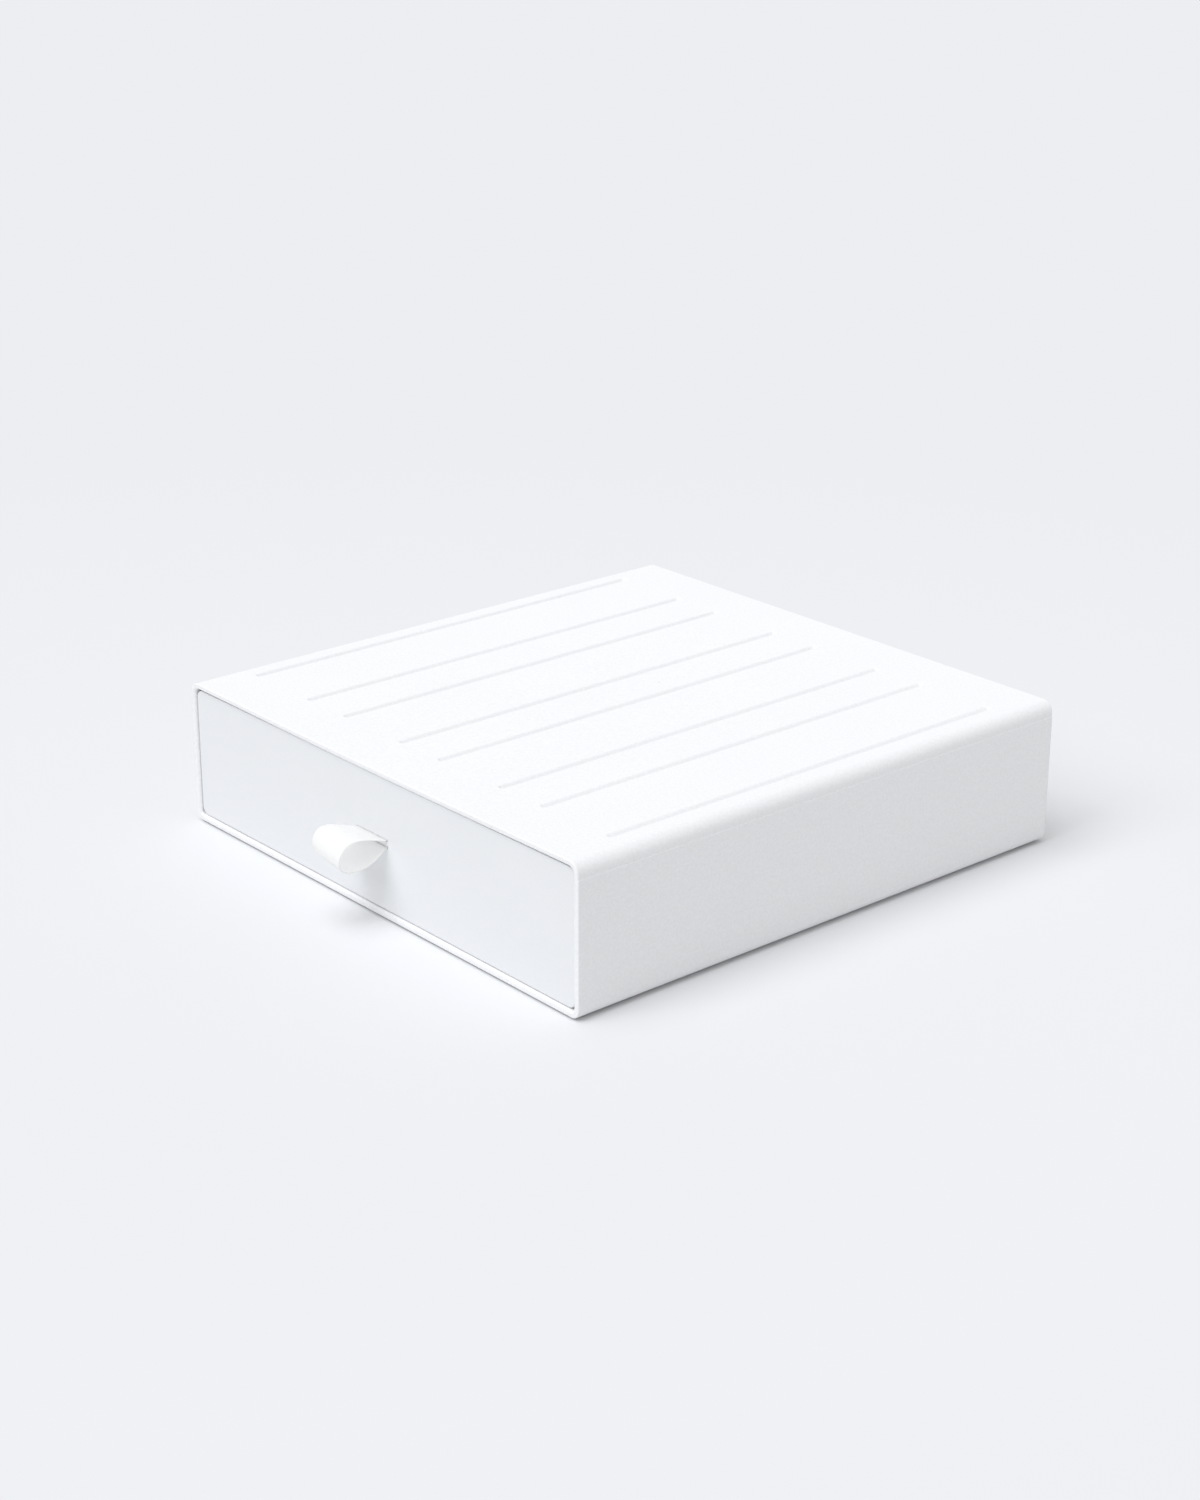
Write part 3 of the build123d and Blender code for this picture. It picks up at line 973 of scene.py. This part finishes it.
@dataclass
class PullRibbon:
    """Loop of woven ribbon that leaves the front panel's upper slit and goes in at its lower.

    The loop's far edge reaches less far and stands higher than its near edge.
    """

    UV_NAME = "ribbon_lengths"
    THREAD_SEGMENTS = 6
    THREAD_RINGS = 5
    THREAD_SCALE = (0.75, 0.75, 1.25)

    width: float = 0.0200
    thickness: float = 0.0005
    across_count: int = 18
    step: float = 0.0007
    tip_reach: float = 0.0234
    far_shorter: float = 0.0012
    far_lift: float = 0.0022
    selvedge_pitch: float = 0.0005
    selvedge_radius: float = 0.00032
    selvedge_slant: float = 28.0
    flat_length: float = 0.0733

    # Side view: reach in front of the panel, and height above the middle of the two slits.
    ROUTE = (
        (-0.0043, 0.0064),
        (-0.0043, 0.0026),
        (-0.0037, 0.0015),
        (0.0000, 0.0015),
        (0.0055, 0.0031),
        (0.0105, 0.0045),
        (0.0146, 0.0051),
        (0.0184, 0.0047),
        (0.0213, 0.0029),
        (0.0230, 0.0002),
        (0.0234, -0.0026),
        (0.0223, -0.0054),
        (0.0196, -0.0072),
        (0.0160, -0.0078),
        (0.0120, -0.0076),
        (0.0080, -0.0065),
        (0.0040, -0.0044),
        (0.0000, -0.0015),
        (-0.0037, -0.0015),
        (-0.0043, -0.0026),
        (-0.0043, -0.0064),
    )

    def __post_init__(self) -> None:
        """Read the panel's face, and the slits' height from the plate behind them."""
        self.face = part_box("drawer_front")[0].y
        low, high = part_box("ribbon_anchor")
        self.middle = (low.z + high.z) / 2

    def place(self, across: float, side_view: np.ndarray) -> np.ndarray:
        """Put side-view points at one line across the ribbon.

        Args:
            across: from -1 at the far edge to 1 at the near edge.
            side_view: rows of reach and height.

        Returns:
            One row of X, Y and Z for each point.
        """
        far = (1 - across) / 2
        share = np.clip(side_view[:, 0] / self.tip_reach, 0.0, 1.0)
        reach = side_view[:, 0] - self.far_shorter * far * share**2
        height = side_view[:, 1] + self.far_lift * far * share**2
        x = np.full(len(reach), across * self.width / 2)
        return np.c_[x, self.face - reach, self.middle + height]

    def rings(self) -> tuple[np.ndarray, np.ndarray]:
        """Cross-sections along the ribbon.

        Returns:
            The vertices, ring after ring, and each one's lengths across and along.
        """
        line = smooth_route(np.array(self.ROUTE), self.step)
        forward = np.gradient(line, axis=0)
        forward /= np.linalg.norm(forward, axis=1)[:, None]
        outward = np.c_[-forward[:, 1], forward[:, 0]]
        along = np.concatenate([[0], np.cumsum(np.linalg.norm(np.diff(line, axis=0), axis=1))])
        half = self.thickness / 2
        spots = np.linspace(-1, 1, self.across_count)
        inset = 1 - half / (self.width / 2)
        section = [(spot * inset, half) for spot in spots]
        section += [(1.0, 0.0)]
        section += [(spot * inset, -half) for spot in spots[::-1]]
        section += [(-1.0, 0.0)]
        columns = [self.place(spot, line + outward * offset) for spot, offset in section]
        lengths = [
            np.c_[np.full(len(line), spot * self.width / 2), along] for spot, _ in section
        ]
        return np.stack(columns, axis=1).reshape(-1, 3), np.stack(lengths, axis=1).reshape(-1, 2)

    def selvedge_tree(self) -> RepeatTree:
        """Build the tree that sets edge threads along the ribbon's two edges.

        Returns:
            The tree.
        """
        kinds = {
            "Edges": "NodeSocketGeometry",
            "Pitch": "NodeSocketFloat",
            "Thread radius": "NodeSocketFloat",
            "Slant": "NodeSocketRotation",
        }
        tree = RepeatTree("selvedge_threads", kinds)
        wiring, given = tree.wiring, tree.given
        edges = wiring.node("GeometryNodeMeshToCurve", {0: given["Edges"]})
        even = wiring.node(
            "GeometryNodeResampleCurve",
            {"Curve": edges.outputs[0], "Length": given["Pitch"]},
            mode="LENGTH",
        )
        thread = wiring.node(
            "GeometryNodeMeshUVSphere",
            {
                "Segments": self.THREAD_SEGMENTS,
                "Rings": self.THREAD_RINGS,
                "Radius": given["Thread radius"],
            },
        )
        tangent = wiring.node("GeometryNodeInputTangent")
        facing = wiring.node(
            "FunctionNodeAlignRotationToVector", {"Vector": tangent.outputs[0]}, axis="Z"
        )
        turned = wiring.node(
            "FunctionNodeRotateRotation",
            {"Rotation": facing.outputs[0], "Rotate By": given["Slant"]},
            rotation_space="LOCAL",
        )
        row = wiring.node(
            "GeometryNodeInstanceOnPoints",
            {
                "Points": even.outputs[0],
                "Instance": thread.outputs["Mesh"],
                "Rotation": turned.outputs[0],
                "Scale": self.THREAD_SCALE,
            },
        )
        tree.hand_out(row.outputs[0], smooth=True)
        return tree

    def build_selvedge(self, finish: bpy.types.Material) -> bpy.types.Object:
        """Make the row of edge threads on each side of the ribbon.

        Args:
            finish: the threads' material.

        Returns:
            The threads, as one object.
        """
        line = smooth_route(np.array(self.ROUTE), self.step)
        inside = 1 - self.selvedge_radius / self.width
        edges = [self.place(side * inside, line) for side in (-1, 1)]
        count = len(line)
        pairs = [
            (start + number, start + number + 1)
            for start in (0, count)
            for number in range(count - 1)
        ]
        mesh = bpy.data.meshes.new("ribbon_selvedge")
        mesh.from_pydata(np.concatenate(edges).tolist(), pairs, [])
        values = {
            "Pitch": self.selvedge_pitch,
            "Thread radius": self.selvedge_radius,
            "Slant": (0.0, math.radians(self.selvedge_slant), 0.0),
            RepeatTree.FINISH: finish,
        }
        return self.selvedge_tree().run(mesh, values)

    def build(
        self, finish: bpy.types.Material, edge_finish: bpy.types.Material
    ) -> bpy.types.Object:
        """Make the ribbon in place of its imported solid.

        Args:
            finish: its woven material.
            edge_finish: the material of its edge threads.

        Returns:
            The ribbon.
        """
        points, lengths = self.rings()
        around = 2 * self.across_count + 2
        count = len(points) // around
        faces = loop_quads(count, around, False)
        last = (count - 1) * around
        faces += [tuple(range(around))[::-1], tuple(range(last, last + around))]
        ribbon = mesh_object("pull_ribbon_loop", points, faces)
        layer = ribbon.data.uv_layers.new(name=self.UV_NAME)
        corners = np.zeros(len(ribbon.data.loops), np.int32)
        ribbon.data.loops.foreach_get("vertex_index", corners)
        layer.data.foreach_set("uv", lengths[corners].astype(np.float32).ravel())
        selvedge = self.build_selvedge(edge_finish)
        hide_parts("pull_ribbon")
        attach(ribbon, Body.DRAWER, finish)
        attach(selvedge, Body.DRAWER, edge_finish)
        return ribbon


# ---------------------------------------------------------------- studio


@dataclass
class Studio:
    """Pale floor, soft daylight from the front and the photograph's camera."""

    floor_size: float = 12.0
    floor_colour: Colour = (0.795, 0.800, 0.812)
    ambient: float = 0.56
    ambient_colour: Colour = (1.0, 1.0, 1.0)
    backdrop: float = 0.877
    backdrop_colour: Colour = (0.985, 1.0, 1.033)
    lamp_colour: Colour = (0.98, 0.995, 1.03)
    key_power: float = 0.62
    key_elevation: float = 42.0
    key_turn: float = -8.0
    key_softness: float = 30.0
    overhead_power: float = 1.32
    overhead_elevation: float = 72.0
    overhead_softness: float = 45.0
    camera_place: Place = (0.82184, -0.70753, 0.46411)
    camera_azimuth: float = 49.231
    camera_elevation: float = 21.328
    camera_roll: float = 0.131
    camera_lens: float = 64.98
    camera_clip: tuple[float, float] = (0.01, 50.0)

    def build_floor(self) -> None:
        """Lay the floor under the object."""
        half = self.floor_size / 2
        corners = np.array([(-half, -half, 0), (half, -half, 0), (half, half, 0), (-half, half, 0)])
        floor = mesh_object("studio_floor", corners, [(0, 1, 2, 3)])
        floor.data.materials.append(StudioSurface("studio_paper", self.floor_colour).material())

    def build_lamp(
        self, name: str, power: float, softness: float, elevation: float, turn: float
    ) -> None:
        """Hang one soft distant lamp.

        Args:
            name: the lamp's name.
            power: its strength.
            softness: the angle that it fills in the sky.
            elevation: its height over the horizon.
            turn: its place round the object, from straight in front towards the right.
        """
        lamp = bpy.data.lights.new(name, "SUN")
        lamp.energy = power
        lamp.color = self.lamp_colour
        lamp.angle = math.radians(softness)
        hung = bpy.data.objects.new(name, lamp)
        hung.rotation_euler = (math.radians(90 - elevation), 0.0, math.radians(turn))
        bpy.context.scene.collection.objects.link(hung)

    def build_light(self) -> None:
        """Set an even sky, a backdrop that only rays to it see, and two soft lamps."""
        world = bpy.data.worlds.new("studio_sky")
        bpy.context.scene.world = world
        world.use_nodes = True
        wiring = Wiring(world.node_tree)
        seen = wiring.node("ShaderNodeLightPath").outputs
        direct = wiring.maths("MAXIMUM", seen["Is Camera Ray"], seen["Is Glossy Ray"])
        direct = wiring.maths("MAXIMUM", direct, seen["Is Transmission Ray"])
        skies = [
            wiring.node("ShaderNodeBackground", {"Color": (*colour, 1.0), "Strength": strength})
            for colour, strength in (
                (self.ambient_colour, self.ambient),
                (self.backdrop_colour, self.backdrop),
            )
        ]
        sky = wiring.node(
            "ShaderNodeMixShader", {0: direct, 1: skies[0].outputs[0], 2: skies[1].outputs[0]}
        )
        wiring.node("ShaderNodeOutputWorld", {"Surface": sky.outputs[0]})
        self.build_lamp(
            "key_light", self.key_power, self.key_softness, self.key_elevation, self.key_turn
        )
        self.build_lamp(
            "overhead_light",
            self.overhead_power,
            self.overhead_softness,
            self.overhead_elevation,
            self.key_turn,
        )

    def build_camera(self) -> None:
        """Place the camera where the photograph was taken from."""
        a, e, roll = (
            math.radians(angle)
            for angle in (self.camera_azimuth, self.camera_elevation, self.camera_roll)
        )
        back = Vector((math.sin(a) * math.cos(e), -math.cos(a) * math.cos(e), math.sin(e)))
        level = Vector((math.cos(a), math.sin(a), 0.0))
        upright = back.cross(level)
        right = level * math.cos(roll) + upright * math.sin(roll)
        lens = bpy.data.cameras.new("photo_camera")
        lens.lens = self.camera_lens
        lens.clip_start, lens.clip_end = self.camera_clip
        camera = bpy.data.objects.new("photo_camera", lens)
        turned = Matrix((right, back.cross(right), back)).transposed().to_4x4()
        camera.matrix_world = Matrix.Translation(self.camera_place) @ turned
        bpy.context.scene.collection.objects.link(camera)
        bpy.context.scene.camera = camera

    def build(self) -> None:
        """Make the floor, the light and the camera."""
        self.build_floor()
        self.build_light()
        self.build_camera()
        bpy.context.scene.view_settings.view_transform = "Standard"


def main() -> None:
    """Build the box's looks and the studio round it."""
    logging.basicConfig(level=logging.INFO, format="%(name)s: %(message)s")
    case_white = MouldedPlastic(
        "case_white",
        colour=(0.900, 0.904, 0.909),
        grain_pitch=0.0011,
        grain_depth=0.00011,
        speckle=0.06,
        flow_depth=0.00005,
        gate_grey=0.10,
    ).material()
    panel_white = MouldedPlastic(
        "panel_white", colour=(0.832, 0.843, 0.854), roughness=0.6
    ).material()
    tray_white = MouldedPlastic(
        "tray_white", colour=(0.880, 0.888, 0.898), roughness=0.48
    ).material()
    ribbon_white = WovenRibbon("ribbon_white", colour=(1.0, 1.0, 0.992)).material()
    selvedge_white = WovenRibbon(
        "selvedge_white", colour=(0.950, 0.945, 0.930), let_through=0.0
    ).material()

    case = CaseShell()
    case.build(case_white)
    StackingRibs(case).build(case_white)
    StopCatches(case).build(case_white)
    PullRibbon().build(ribbon_white, selvedge_white)
    dress_node("back_panel", case_white)
    dress_node("drawer_front", panel_white)
    dress_node("drawer_tray", tray_white)
    dress_node("ribbon_anchor", tray_white)
    Studio().build()


if __name__ == "__main__":
    main()
